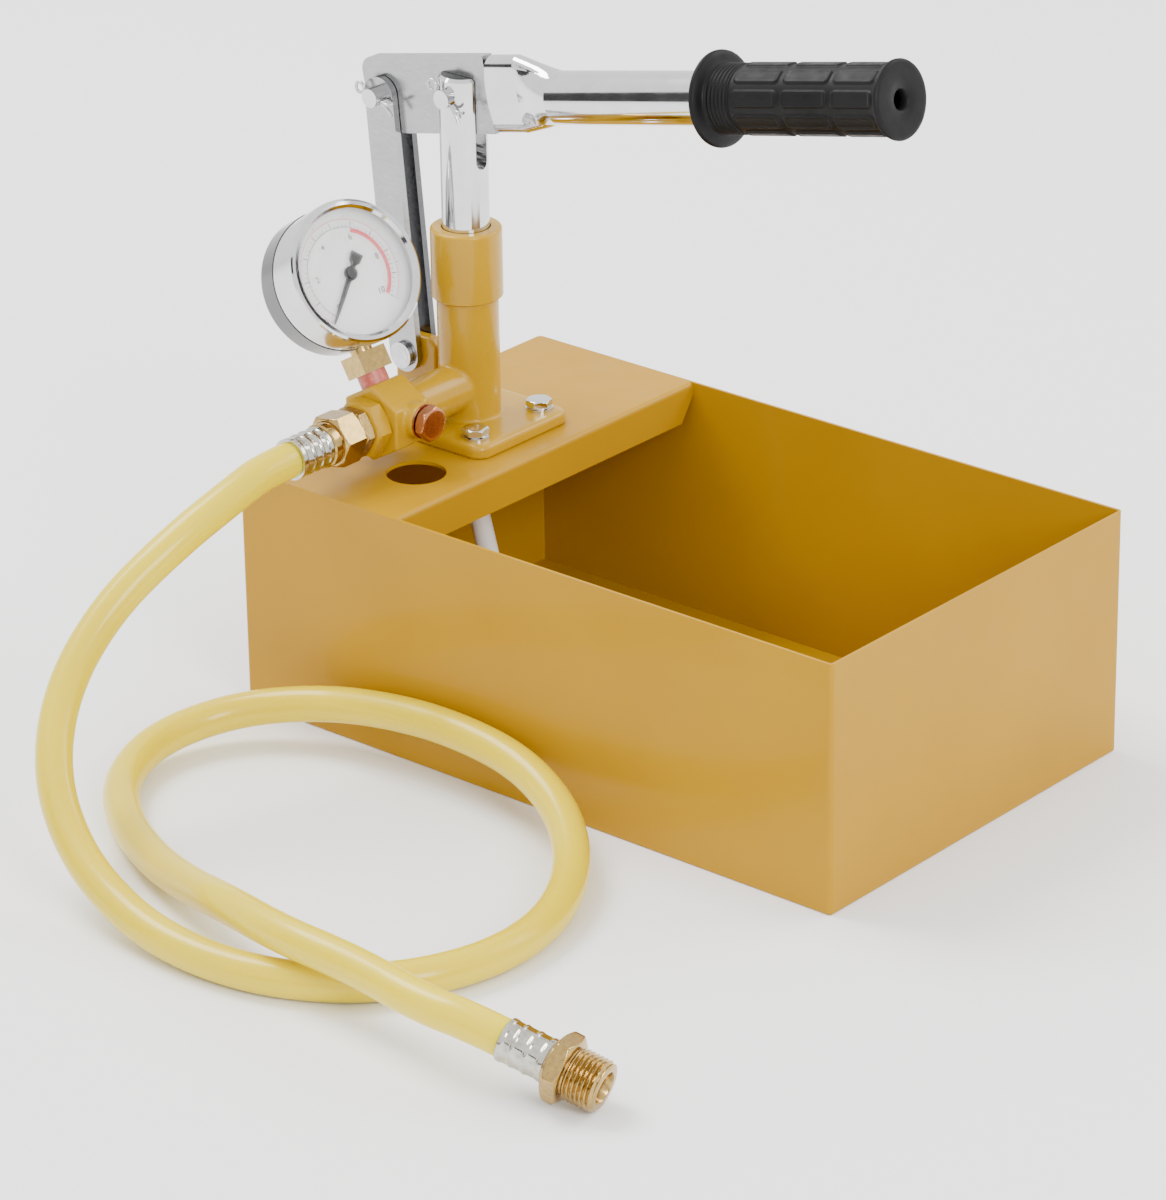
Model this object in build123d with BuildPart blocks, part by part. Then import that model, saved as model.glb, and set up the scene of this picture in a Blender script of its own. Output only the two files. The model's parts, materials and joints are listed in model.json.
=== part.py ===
from build123d import *
import os
from math import atan, cos, degrees, pi, radians, sin, sqrt, tan

# Lever-operated hydraulic test pump on an open sheet-steel water tank.
# Millimetres, +Z up. The origin is the middle of the tank's underside, on the
# floor; +X runs along the tank away from the pump, -Y is the hose side.
os.makedirs("parts", exist_ok=True)


def save(part, name):
    part.label = name
    export_step(part, f"parts/{name}.step")


# ---- driving dimensions ---------------------------------------------------
tank_l, tank_w, tank_h, sheet_t = 310.0, 190.0, 107.0, 1.2
deck_l, deck_t, deck_lip = 87.4, 1.5, 16.6
fill_x, fill_y, fill_r = -93.7, -53.6, 12.5

pump_x = -111.3                      # pump axis, vertical, in the XZ plane
foot_x0, foot_x1, foot_y, foot_t = -142.6, -80.0, 29.0, 5.8
foot_top = tank_h + foot_t
bolt_x, bolt_y = (-132.1, -90.5), (-20.0, 20.0)
column_r, column_top, stub_r, stub_top = 13.0, 165.0, 11.5, 180.0
collar_r, collar_top = 15.0, 195.5
bore_r, plunger_r = 10.1, 10.0
chamber_z, plunger_z0, plunger_z1 = 119.0, 146.0, 261.5

axis_z = 126.5                       # axis of the discharge side, along -Y
hex_af, hex_y0, hex_y1 = 28.5, -61.0, -41.0
hex_x = pump_x
barrel_r = 10.2
gauge_y, stem_l, case_shift = -49.8, 59.8, 2.2

lever_deg = 11.7                     # handle raised above level at rest
rod_pin_z = 253.5
pin_r, pin_run = 4.0, 4.05
link_pin_u = -42.1                   # link pin on the lever, from the rod pin
link_bot_x, link_bot_z = -142.5, 132.8
link_w, link_t, link_y = 15.0, 3.0, 3.3
plate_half, fork_half = 2.95, 3.3
flat_h, flat_v = 32.5, -0.75
tube_r, tube_wall, tube_v = 11.0, 1.8, -2.3
grip_r, grip_u0, grip_u1 = 14.3, 135.0, 229.0

hose_r = 7.5
end_z = 12.1

ca, sa = cos(radians(lever_deg)), sin(radians(lever_deg))
link_top_x = pump_x + link_pin_u * ca
link_top_z = rod_pin_z + link_pin_u * sa

# planes used again and again
def out_plane(y, x=hex_x, z=axis_z):
    """Section of the discharge side, looking along -Y from y."""
    return Plane(origin=(x, y, z), x_dir=(1, 0, 0), z_dir=(0, -1, 0))


def lever_plane(y=0.0):
    """Lever side view: x along the handle, y square to it, from the rod pin."""
    return Plane(origin=(pump_x, y, rod_pin_z), x_dir=(ca, 0, sa), z_dir=(0, -1, 0))


def lever_section(u):
    """Section square to the handle at distance u from the rod pin."""
    return Plane(
        origin=(pump_x + u * ca, 0, rod_pin_z + u * sa),
        x_dir=(0, 1, 0),
        z_dir=(ca, 0, sa),
    )


# ---- tank -----------------------------------------------------------------
with BuildPart() as tank_body:
    with BuildSketch(Plane.XY):
        RectangleRounded(tank_l, tank_w, 2.0)
    extrude(amount=tank_h)
    fillet(tank_body.faces().sort_by(Axis.Z)[0].edges(), 1.0)
    with BuildSketch(Plane.XY.offset(sheet_t)):
        RectangleRounded(tank_l - 2 * sheet_t, tank_w - 2 * sheet_t, 0.8)
    extrude(amount=tank_h, mode=Mode.SUBTRACT)
save(tank_body.part, "tank_body")

in_x, in_y = tank_l / 2 - sheet_t, tank_w / 2 - sheet_t
deck_x1 = -tank_l / 2 + deck_l
with BuildPart() as deck_plate:
    with BuildSketch(Plane.XZ.offset(-in_y)):
        with BuildLine():
            Polyline(
                (-in_x, tank_h),
                (deck_x1, tank_h),
                (deck_x1, tank_h - deck_lip),
                (deck_x1 - deck_t, tank_h - deck_lip),
                (deck_x1 - deck_t, tank_h - deck_t),
                (-in_x, tank_h - deck_t),
                (-in_x, tank_h),
            )
        make_face()
    extrude(amount=2 * in_y)
    fillet(deck_plate.edges().filter_by(Axis.Y).sort_by_distance((deck_x1, 0, tank_h))[0], 2.2)
    fillet(
        deck_plate.edges().filter_by(Axis.Y).sort_by_distance((deck_x1 - deck_t, 0, tank_h - deck_t))[0],
        0.7,
    )
    # tank corners are rounded by the sheet's own bend
    fillet(
        deck_plate.edges().filter_by(Axis.Z).group_by(Axis.X)[0],
        0.8,
    )
    # the lip's ends are cut back on a slant
    for side in (-1, 1):
        with BuildSketch(Plane(origin=(deck_x1 - 4, 0, 0), x_dir=(0, 1, 0), z_dir=(1, 0, 0))):
            Polygon(
                (side * in_y, tank_h - 5.5),
                (side * (in_y + 2), tank_h - deck_lip - 1),
                (side * (in_y - 8.5), tank_h - deck_lip - 1),
                align=None,
            )
        extrude(amount=8, mode=Mode.SUBTRACT)
    with BuildSketch(Plane.XY.offset(tank_h - deck_t)):
        with Locations((fill_x, fill_y)):
            Circle(fill_r)
        with Locations(*[(x, y) for x in bolt_x for y in bolt_y]):
            Circle(3.3)
        with Locations((pump_x, 0)):
            Circle(8.3)
    extrude(amount=deck_t, mode=Mode.SUBTRACT)
save(deck_plate.part, "deck_plate")

# ---- pump casting -----------------------------------------------------------
with BuildPart() as pump_body:
    # bolted foot
    with BuildSketch(Plane.XY.offset(tank_h)):
        with Locations(((foot_x0 + foot_x1) / 2, 0)):
            RectangleRounded(foot_x1 - foot_x0, 2 * foot_y, 7.0)
        with Locations((foot_x0 - 1.5, 0)):
            RectangleRounded(15, 20, 3.0)
    extrude(amount=foot_t)
    fillet(pump_body.faces().sort_by(Axis.Z)[-1].edges(), 2.4)
    # upright column with the threaded stub that carries the gland
    with BuildSketch(Plane.XY.offset(tank_h + 0.5)):
        with Locations((pump_x, 0)):
            Circle(column_r)
    extrude(amount=column_top - tank_h - 0.5)
    with BuildSketch(Plane.XY.offset(column_top - 1)):
        with Locations((pump_x, 0)):
            Circle(stub_r)
    extrude(amount=stub_top - column_top + 1)
    # spigot through the deck for the suction side
    with BuildSketch(Plane.XY.offset(98)):
        with Locations((pump_x, 0)):
            Circle(8.0)
    extrude(amount=10)
    # horizontal valve barrel and its hexagonal head
    with BuildSketch(out_plane(-4)):
        Circle(barrel_r)
    extrude(amount=abs(hex_y1) - 4 + 1)
    with BuildSketch(out_plane(hex_y1)):
        RegularPolygon(radius=hex_af / 2, side_count=6, major_radius=False, rotation=30)
    extrude(amount=hex_y1 - hex_y0)
    # boss for the plug on the +X face of the head
    with BuildSketch(Plane(origin=(hex_x + hex_af / 2 - 1, -49.7, 129.0), x_dir=(0, 1, 0), z_dir=(1, 0, 0))):
        Circle(7.4)
    extrude(amount=5.7)
    # lug for the links
    with BuildSketch(Plane.XZ.offset(-2.9)):
        with BuildLine():
            Polyline(
                (-150.2, foot_top - 1), (-150.2, 134.5), (-147.0, 139.5),
                (-142.5, 141.2), (-131.0, 141.2), (-127.6, 138.0), (-127.6, foot_top - 1),
                (-150.2, foot_top - 1),
            )
        make_face()
    extrude(amount=5.8)
    # plunger bore and chamber
    with BuildSketch(Plane.XY.offset(chamber_z)):
        with Locations((pump_x, 0)):
            Circle(bore_r)
    extrude(amount=80, mode=Mode.SUBTRACT)
    # suction ball chamber, seat pocket and passage
    with BuildSketch(Plane.XY.offset(108)):
        with Locations((pump_x, 0)):
            Circle(6.0)
    extrude(amount=11.5, mode=Mode.SUBTRACT)
    with BuildSketch(Plane.XY.offset(97)):
        with Locations((pump_x, 0)):
            Circle(3.0)
    extrude(amount=12, mode=Mode.SUBTRACT)
    # discharge passage, ball chamber and outlet thread
    with BuildSketch(out_plane(0, x=pump_x)):
        Circle(3.0)
    extrude(amount=37, mode=Mode.SUBTRACT)
    with BuildSketch(out_plane(-36)):
        Circle(7.0)
    extrude(amount=30, mode=Mode.SUBTRACT)
    # plug hole
    with BuildSketch(Plane(origin=(-104.5, -49.7, 129.0), x_dir=(0, 1, 0), z_dir=(1, 0, 0))):
        Circle(4.0)
    extrude(amount=20, mode=Mode.SUBTRACT)
    # gauge port in the upper slanted face towards -X
    with BuildSketch(Plane(origin=(hex_x - 0.5 * 4, gauge_y, axis_z + 0.866 * 4), x_dir=(0, 1, 0), z_dir=(-0.5, 0, 0.8660254))):
        Circle(5.0)
    extrude(amount=20, mode=Mode.SUBTRACT)
    # holes for foot bolts and the lug pin
    with BuildSketch(Plane.XY.offset(tank_h - 1)):
        with Locations(*[(x, y) for x in bolt_x for y in bolt_y]):
            Circle(3.3)
    extrude(amount=10, mode=Mode.SUBTRACT)
    with BuildSketch(Plane.XZ.offset(-6)):
        with Locations((link_bot_x, link_bot_z)):
            Circle(pin_r)
    extrude(amount=12, mode=Mode.SUBTRACT)
save(pump_body.part, "pump_body")

with BuildPart() as gland_collar:
    with BuildSketch(Plane.XY.offset(column_top)):
        with Locations((pump_x, 0)):
            Circle(collar_r)
            Circle(stub_r, mode=Mode.SUBTRACT)
    extrude(amount=23.5)
    with BuildSketch(Plane.XY.offset(column_top + 23.5)):
        with Locations((pump_x, 0)):
            Circle(collar_r)
            Circle(10.4, mode=Mode.SUBTRACT)
    extrude(amount=collar_top - column_top - 23.5)
    top = gland_collar.faces().sort_by(Axis.Z)[-1]
    fillet(top.edges().sort_by(SortBy.LENGTH)[-1], 1.4)
    chamfer(gland_collar.faces().sort_by(Axis.Z)[0].edges().sort_by(SortBy.LENGTH)[-1], 0.6)
save(gland_collar.part, "gland_collar")

for name, z0, h in (("packing_ring_lower", stub_top, 4.0), ("packing_ring_upper", stub_top + 4.0, 4.5)):
    with BuildPart() as packing:
        with BuildSketch(Plane.XY.offset(z0)):
            with Locations((pump_x, 0)):
                Circle(stub_r)
                Circle(10.06, mode=Mode.SUBTRACT)
        extrude(amount=h)
    save(packing.part, name)

# ---- foot fasteners ---------------------------------------------------------
foot_spots = [(x, y) for x in bolt_x for y in bolt_y]
with BuildPart() as foot_bolts:
    for x, y in foot_spots:
        with BuildSketch(Plane.XY.offset(97.5)):
            with Locations((x, y)):
                Circle(3.0)
        extrude(amount=foot_top + 1.2 - 97.5)
        with BuildSketch(Plane.XY.offset(foot_top + 1.2)):
            with Locations((x, y)):
                RegularPolygon(radius=4.9, side_count=6, major_radius=False, rotation=20)
        extrude(amount=3.6)
save(foot_bolts.part, "foot_bolts")
with BuildPart() as foot_washers:
    with BuildSketch(Plane.XY.offset(foot_top)):
        with Locations(*foot_spots):
            Circle(5.8)
            Circle(3.0, mode=Mode.SUBTRACT)
    extrude(amount=1.2)
save(foot_washers.part, "foot_washers")
with BuildPart() as foot_nuts:
    with BuildSketch(Plane.XY.offset(tank_h - deck_t - 5.0)):
        with Locations(*foot_spots):
            RegularPolygon(radius=5.0, side_count=6, major_radius=False)
            Circle(3.0, mode=Mode.SUBTRACT)
    extrude(amount=5.0)
save(foot_nuts.part, "foot_nuts")

# ---- suction side -------------------------------------------------------------
with BuildPart() as suction_fitting:
    with BuildSketch(Plane.XY.offset(88)):
        with Locations((pump_x, 0)):
            Circle(3.0)
            Circle(1.8, mode=Mode.SUBTRACT)
    extrude(amount=18)
    with BuildSketch(Plane.XY.offset(94)):
        with Locations((pump_x, 0)):
            RegularPolygon(radius=6.5, side_count=6, major_radius=False)
            Circle(1.8, mode=Mode.SUBTRACT)
    extrude(amount=4)
save(suction_fitting.part, "suction_fitting")

suct_dx = 12.8
with BuildPart() as suction_pipe:
    with BuildLine() as suct_path:
        FilletPolyline((pump_x, 0, 94), (pump_x, 0, 80), (pump_x + suct_dx, 0, 34), (pump_x + suct_dx, 0, 15), radius=22)
    with BuildSketch(Plane(origin=(pump_x, 0, 94), x_dir=(1, 0, 0), z_dir=(0, 0, -1))):
        Circle(4.5)
        Circle(3.0, mode=Mode.SUBTRACT)
    sweep(path=suct_path.line)
save(suction_pipe.part, "suction_pipe")

with BuildPart() as suction_strainer:
    with BuildSketch(Plane.XY.offset(4)):
        with Locations((pump_x + suct_dx, 0)):
            Circle(7.5)
    extrude(amount=11)
    with BuildSketch(Plane.XY.offset(4)):
        with Locations((pump_x + suct_dx, 0)):
            Circle(6.3)
    extrude(amount=9.6, mode=Mode.SUBTRACT)
    with BuildSketch(Plane.XY.offset(12)):
        with Locations((pump_x + suct_dx, 0)):
            Circle(3.0)
    extrude(amount=4, mode=Mode.SUBTRACT)
    # inlet slots round the skirt
    for k in range(6):
        with BuildSketch(Plane(origin=(pump_x + suct_dx, 0, 8), x_dir=(-sin(k * pi / 3), cos(k * pi / 3), 0), z_dir=(cos(k * pi / 3), sin(k * pi / 3), 0))):
            SlotOverall(5.0, 1.6, rotation=90)
        extrude(amount=9, mode=Mode.SUBTRACT)
save(suction_strainer.part, "suction_strainer")

seat_top = 112.0
ball_r = 4.5
with BuildPart() as suction_seat:
    with BuildSketch(Plane.XY.offset(109)):
        with Locations((pump_x, 0)):
            Circle(6.0)
            Circle(3.0, mode=Mode.SUBTRACT)
    extrude(amount=seat_top - 109)
save(suction_seat.part, "suction_seat")
ball_seat = sqrt(ball_r ** 2 - 9.0)
with BuildPart(Plane(origin=(pump_x, 0, seat_top + ball_seat + 0.08))) as suction_ball:
    Sphere(ball_r)
save(suction_ball.part, "suction_ball")

# ---- discharge side -------------------------------------------------------------
with BuildPart() as discharge_seat:
    with BuildSketch(out_plane(-36)):
        Circle(7.0)
        Circle(2.9, mode=Mode.SUBTRACT)
    extrude(amount=4)
save(discharge_seat.part, "discharge_seat")
dball_seat = sqrt(ball_r ** 2 - 2.9 ** 2)
with BuildPart(Plane(origin=(hex_x, -40 - dball_seat - 0.08, axis_z))) as discharge_ball:
    Sphere(ball_r)
save(discharge_ball.part, "discharge_ball")
# coil spring drawn as its turns on a thin sleeve, one closed ring profile
with BuildPart() as discharge_spring:
    with BuildSketch(Plane(origin=(hex_x, -49.8, axis_z), x_dir=(1, 0, 0), z_dir=(0, 0, 1))):
        with BuildLine():
            pts = [(3.4, 0.0)]
            for k in range(5):
                pts += [(4.4, -1.34 * k), (4.4, -1.34 * k - 0.9), (3.7, -1.34 * k - 0.9), (3.7, -1.34 * k - 1.34)]
            pts += [(3.4, -6.7), (3.4, 0.0)]
            Polyline(*[p for i, p in enumerate(pts) if i == 0 or p != pts[i - 1]])
        make_face()
    revolve(axis=Axis((hex_x, -49.8, axis_z), (0, 1, 0)))
save(discharge_spring.part, "discharge_spring")

with BuildPart() as outlet_adapter:
    with BuildSketch(out_plane(-56.6)):
        Circle(7.0)
    extrude(amount=4.4)
    with BuildSketch(out_plane(-61)):
        RegularPolygon(radius=11.0, side_count=6, major_radius=False)
    extrude(amount=8)
    chamfer(outlet_adapter.faces().sort_by(Axis.Y)[0].edges(), 0.8)
    with BuildSketch(out_plane(-56)):
        Circle(2.6)
    extrude(amount=14, mode=Mode.SUBTRACT)
save(outlet_adapter.part, "outlet_adapter")

with BuildPart() as hose_nipple:
    with BuildSketch(out_plane(-69)):
        RegularPolygon(radius=9.5, side_count=6, major_radius=False, rotation=30)
    extrude(amount=6)
    with BuildSketch(out_plane(-75)):
        Circle(7.6)
    extrude(amount=9)
    with BuildSketch(out_plane(-68)):
        Circle(2.6)
    extrude(amount=18, mode=Mode.SUBTRACT)
save(hose_nipple.part, "hose_nipple")

with BuildPart() as swivel_nut:
    with BuildSketch(out_plane(-75.1)):
        RegularPolygon(radius=10.3, side_count=6, major_radius=False, rotation=10)
        Circle(7.68, mode=Mode.SUBTRACT)
    extrude(amount=11.9)
    with BuildSketch(out_plane(-87)):
        Circle(9.4)
        Circle(5.1, mode=Mode.SUBTRACT)
    extrude(amount=4.8)
save(swivel_nut.part, "swivel_nut")

with BuildPart() as near_ferrule:
    # crimped sleeve with its nipple tail inside the nut
    with BuildSketch(out_plane(-84.2)):
        Circle(7.2)
    extrude(amount=2.7)
    with BuildSketch(out_plane(-86.9)):
        Circle(5.04)
    extrude(amount=5.0)
    with BuildSketch(out_plane(-91.9)):
        Circle(8.75)
    extrude(amount=18.1)
    with BuildSketch(out_plane(-84)):
        Circle(2.6)
    extrude(amount=20, mode=Mode.SUBTRACT)
save(near_ferrule.part, "near_ferrule")

with BuildPart() as plug_washer:
    with BuildSketch(Plane(origin=(hex_x + hex_af / 2 + 4.7, -49.7, 129.0), x_dir=(0, 1, 0), z_dir=(1, 0, 0))):
        Circle(7.3)
        Circle(4.06, mode=Mode.SUBTRACT)
    extrude(amount=0.9)
save(plug_washer.part, "plug_washer")
with BuildPart() as copper_plug:
    with BuildSketch(Plane(origin=(-104.4, -49.7, 129.0), x_dir=(0, 1, 0), z_dir=(1, 0, 0))):
        Circle(3.94)
    extrude(amount=104.4 + hex_x + hex_af / 2 + 5.65)
    with BuildSketch(Plane(origin=(hex_x + hex_af / 2 + 5.65, -49.7, 129.0), x_dir=(0, 1, 0), z_dir=(1, 0, 0))):
        RegularPolygon(radius=6.7, side_count=6, major_radius=False, rotation=30)
    extrude(amount=4.6)
    chamfer(copper_plug.faces().sort_by(Axis.X)[-1].edges(), 0.7)
save(copper_plug.part, "copper_plug")

# ---- pressure gauge ---------------------------------------------------------------
stem_dir = Vector(-0.5, 0, 0.8660254)
face_dir = Vector(0.845, -0.185, 0.502)
face_dir = (face_dir - stem_dir * face_dir.dot(stem_dir)).normalized()
port = Vector(hex_x, gauge_y, axis_z)
gauge_c = port + stem_dir * stem_l
side_dir = stem_dir.cross(face_dir)


def dial_plane(n=0.0):
    """Square to the gauge's axis, n in front of the stem; y points away from the stem."""
    return Plane(origin=gauge_c + face_dir * (n + case_shift), x_dir=side_dir, z_dir=face_dir)


def stem_plane(s):
    """Square to the stem, s from the gauge's centre towards the pump."""
    return Plane(origin=gauge_c - stem_dir * s, x_dir=side_dir, z_dir=-stem_dir)


half_plane = Plane(origin=gauge_c + face_dir * case_shift, x_dir=side_dir, z_dir=side_dir.cross(face_dir))
gauge_axis = Axis(gauge_c, face_dir)

with BuildPart() as gauge_rear_case:
    with BuildSketch(dial_plane(-10)):
        Circle(29.8)
    extrude(amount=11.3)
    fillet(gauge_rear_case.edges().sort_by(gauge_axis)[0], 2.2)
    with BuildSketch(dial_plane(-8.5)):
        Circle(28.3)
    extrude(amount=12, mode=Mode.SUBTRACT)
    with BuildSketch(stem_plane(20)):
        Circle(5.0)
    extrude(amount=14, mode=Mode.SUBTRACT)
save(gauge_rear_case.part, "gauge_rear_case")

with BuildPart() as gauge_case:
    with BuildSketch(dial_plane(1.3)):
        Circle(29.5)
        Circle(28.3, mode=Mode.SUBTRACT)
    extrude(amount=13.9)
    with BuildSketch(stem_plane(20)):
        Circle(5.0)
    extrude(amount=14, mode=Mode.SUBTRACT)
save(gauge_case.part, "gauge_case")

with BuildPart() as gauge_bezel:
    with BuildSketch(half_plane):
        with BuildLine():
            # x is the radius, y runs towards the front
            Polyline(
                (29.5, 12.0), (30.3, 12.0), (30.3, 18.2), (29.9, 19.2), (29.0, 19.8),
                (27.6, 19.8), (26.4, 18.6), (26.4, 18.2), (28.3, 18.2), (28.3, 15.2),
                (29.5, 15.2), (29.5, 12.0),
            )
        make_face()
    revolve(axis=gauge_axis)
save(gauge_bezel.part, "gauge_bezel")

with BuildPart() as gauge_window:
    with BuildSketch(dial_plane(16.6)):
        Circle(28.3)
    extrude(amount=1.6)
save(gauge_window.part, "gauge_window")

with BuildPart() as gauge_dial:
    with BuildSketch(dial_plane(12.2)):
        Circle(28.3)
        Circle(1.8, mode=Mode.SUBTRACT)
    extrude(amount=0.6)
save(gauge_dial.part, "gauge_dial")

with BuildPart() as gauge_stem:
    with BuildSketch(stem_plane(40.2)):
        Circle(5.0)
    extrude(amount=11.0)
    with BuildSketch(stem_plane(31.2)):
        Rectangle(14.0, 14.0)
    extrude(amount=9.0)
    with BuildSketch(stem_plane(21.0)):
        Circle(4.7)
    extrude(amount=10.2)
    with BuildSketch(stem_plane(12.0)):
        Circle(1.0)
    extrude(amount=41, mode=Mode.SUBTRACT)
    # block that the tube is soldered into, a sector so that its ends are radial
with BuildPart() as tube_block:
    with BuildSketch(half_plane):
        with Locations((20.0, 0)):
            Rectangle(7.0, 7.0)
    revolve(axis=gauge_axis, revolution_arc=30)
block = tube_block.part.rotate(gauge_axis, -105)
with BuildPart() as gauge_stem_full:
    add(gauge_stem.part)
    add(block)
save(gauge_stem_full.part, "gauge_stem")

with BuildPart() as tube_arc:
    with BuildSketch(half_plane):
        with Locations((20.5, 0)):
            SlotOverall(6.0, 2.4, rotation=90)
    revolve(axis=gauge_axis, revolution_arc=250)
bourdon = Part() + tube_arc.part.rotate(gauge_axis, -75)
save(bourdon, "bourdon_tube")

with BuildPart() as gauge_thread_tape:
    with BuildSketch(stem_plane(40.2)):
        Circle(6.2)
        Circle(5.0, mode=Mode.SUBTRACT)
    extrude(amount=stem_l - 40.2 - hex_af / 2 - 0.02)
save(gauge_thread_tape.part, "gauge_thread_tape")

with BuildPart() as gauge_movement:
    with BuildSketch(dial_plane(-8.5)):
        RectangleRounded(14.0, 9.0, 1.5)
        Circle(1.3, mode=Mode.SUBTRACT)
    extrude(amount=17.5)
save(gauge_movement.part, "gauge_movement")

# the pointer lies at the scale's zero, 45 degrees left of the stem
zero = radians(225)
with BuildPart() as gauge_pointer:
    with BuildSketch(dial_plane(3.0)):
        Circle(1.2)
    extrude(amount=11.0)
    with BuildSketch(dial_plane(13.4)):
        Polygon(
            *[
                (r * cos(zero) - w * sin(zero), r * sin(zero) + w * cos(zero))
                for r, w in ((23.4, 0.25), (14.0, 0.8), (0.0, 1.2), (-4.0, 1.0), (-5.5, 2.4), (-9.5, 2.8), (-9.5, -2.8), (-5.5, -2.4), (-4.0, -1.0), (0.0, -1.2), (14.0, -0.8), (23.4, -0.25))
            ],
            align=None,
        )
        Circle(3.0)
    extrude(amount=0.6)
    with BuildSketch(dial_plane(14.0)):
        Circle(2.4)
    extrude(amount=1.2)
save(gauge_pointer.part, "gauge_pointer")

# ---- links and their pins -----------------------------------------------------------
link_len = sqrt((link_top_x - link_bot_x) ** 2 + (link_top_z - link_bot_z) ** 2)
link_dir = Vector(link_top_x - link_bot_x, 0, link_top_z - link_bot_z).normalized()


def link_plane(y):
    return Plane(origin=(link_bot_x, y, link_bot_z), x_dir=link_dir, z_dir=(0, -1, 0))


for name, y in (("front_link", -link_y), ("rear_link", link_y + link_t)):
    with BuildPart() as link:
        with BuildSketch(link_plane(y)):
            with Locations((link_len / 2, 0)):
                SlotCenterToCenter(link_len, link_w + 0.6)
            Circle(pin_run, mode=Mode.SUBTRACT)
            with Locations((link_len, 0)):
                Circle(pin_r, mode=Mode.SUBTRACT)
        extrude(amount=link_t)
    save(link.part, name)

with BuildPart() as bottom_link_pin:
    with BuildSketch(Plane.XZ.offset(-8.6)):
        with Locations((link_bot_x, link_bot_z)):
            Circle(pin_r)
    extrude(amount=17.2)
    for y in (-6.5, 8.5):
        with BuildSketch(Plane.XZ.offset(-y)):
            with Locations((link_bot_x, link_bot_z)):
                Circle(5.6)
        extrude(amount=2.0)
save(bottom_link_pin.part, "bottom_link_pin")

with BuildPart() as top_link_pin:
    with BuildSketch(Plane.XZ.offset(-6.3)):
        with Locations((link_top_x, link_top_z)):
            Circle(pin_r)
    extrude(amount=18.3)
    with BuildSketch(Plane.XZ.offset(-8.6)):
        with Locations((link_top_x, link_top_z)):
            Circle(6.0)
    extrude(amount=2.3)
    with BuildSketch(Plane(origin=(link_top_x, -9.2, link_top_z), x_dir=(0, 1, 0), z_dir=(0.94, 0, -0.34))):
        Circle(1.05)
    extrude(amount=6, both=True, mode=Mode.SUBTRACT)
save(top_link_pin.part, "top_link_pin")


def split_pin(x, y, z, run, name):
    """Folded split pin through a cross hole: closed legs and an eye."""
    d = Vector(*run).normalized()
    with BuildPart() as cotter:
        with BuildSketch(Plane(origin=Vector(x, y, z) - d * 5.4, x_dir=(0, 1, 0), z_dir=d)):
            Circle(1.05)
        extrude(amount=15.5)
        with BuildSketch(Plane(origin=Vector(x, y, z) - d * 7.6, x_dir=d, z_dir=d.cross(Vector(0, 1, 0)))):
            with Locations((-2.3, 0)):
                Circle(0.95)
        revolve(axis=Axis(Vector(x, y, z) - d * 7.6, (0, 1, 0)))
    save(cotter.part, name)


split_pin(link_top_x, -9.2, link_top_z, (0.94, 0, -0.34), "top_pin_cotter")

# ---- plunger --------------------------------------------------------------------------
with BuildPart() as plunger_rod:
    with BuildSketch(Plane.XY.offset(plunger_z0)):
        with Locations((pump_x, 0)):
            Circle(plunger_r)
    extrude(amount=plunger_z1 - plunger_z0)
    chamfer(plunger_rod.faces().sort_by(Axis.Z)[-1].edges(), 1.3)
    chamfer(plunger_rod.faces().sort_by(Axis.Z)[0].edges(), 0.8)
    # fork slot with a round bottom
    with BuildSketch(Plane(origin=(pump_x, 0, 0), x_dir=(0, 1, 0), z_dir=(1, 0, 0))):
        with Locations((0, 245.0)):
            Rectangle(2 * fork_half, 2 * (245.0 - 222.0 - fork_half))
        with Locations((0, 222.0 + fork_half)):
            Circle(fork_half)
    extrude(amount=12, both=True, mode=Mode.SUBTRACT)
    with BuildSketch(Plane.XZ.offset(-14)):
        with Locations((pump_x, rod_pin_z)):
            Circle(pin_r)
    extrude(amount=28, mode=Mode.SUBTRACT)
save(plunger_rod.part, "plunger_rod")

with BuildPart() as rod_pin:
    with BuildSketch(Plane.XZ.offset(-10.1)):
        with Locations((pump_x, rod_pin_z)):
            Circle(pin_r)
    extrude(amount=23.6)
    with BuildSketch(Plane.XZ.offset(-12.3)):
        with Locations((pump_x, rod_pin_z)):
            Circle(6.0)
    extrude(amount=2.2)
    with BuildSketch(Plane(origin=(pump_x, -11.6, rod_pin_z), x_dir=(0, 1, 0), z_dir=(0.8, 0, -0.6))):
        Circle(1.05)
    extrude(amount=6, both=True, mode=Mode.SUBTRACT)
save(rod_pin.part, "rod_pin")
split_pin(pump_x, -11.6, rod_pin_z, (0.8, 0, -0.6), "rod_pin_cotter")

# ---- lever ------------------------------------------------------------------------------
with BuildPart() as lever_plate:
    with BuildSketch(lever_plane(plate_half)):
        with Locations((-4, flat_v)):
            RectangleRounded(96, flat_h, 6.0)
        with Locations((link_pin_u, 0)):
            Circle(pin_run, mode=Mode.SUBTRACT)
        # slotted hole: the rod pin slides along it as the lever swings
        with Locations((1.78, -0.4)):
            RectangleRounded(12.9, 9.9, 4.4, mode=Mode.SUBTRACT)
    extrude(amount=2 * plate_half)
    # the tail is narrowed to lie inside the flattened tube
    for v0, v1 in ((flat_v + flat_h / 2 - 4.8, 30), (-30, flat_v - flat_h / 2 + 4.8)):
        with BuildSketch(lever_plane(plate_half)):
            with Locations((40, (v0 + v1) / 2)):
                Rectangle(46, abs(v1 - v0))
        extrude(amount=2 * plate_half, mode=Mode.SUBTRACT)
    with BuildSketch(lever_plane(plate_half)):
        with Locations((44, -1)):
            Rectangle(22, 40)
    extrude(amount=2 * plate_half, mode=Mode.SUBTRACT)
save(lever_plate.part, "lever_plate")

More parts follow.
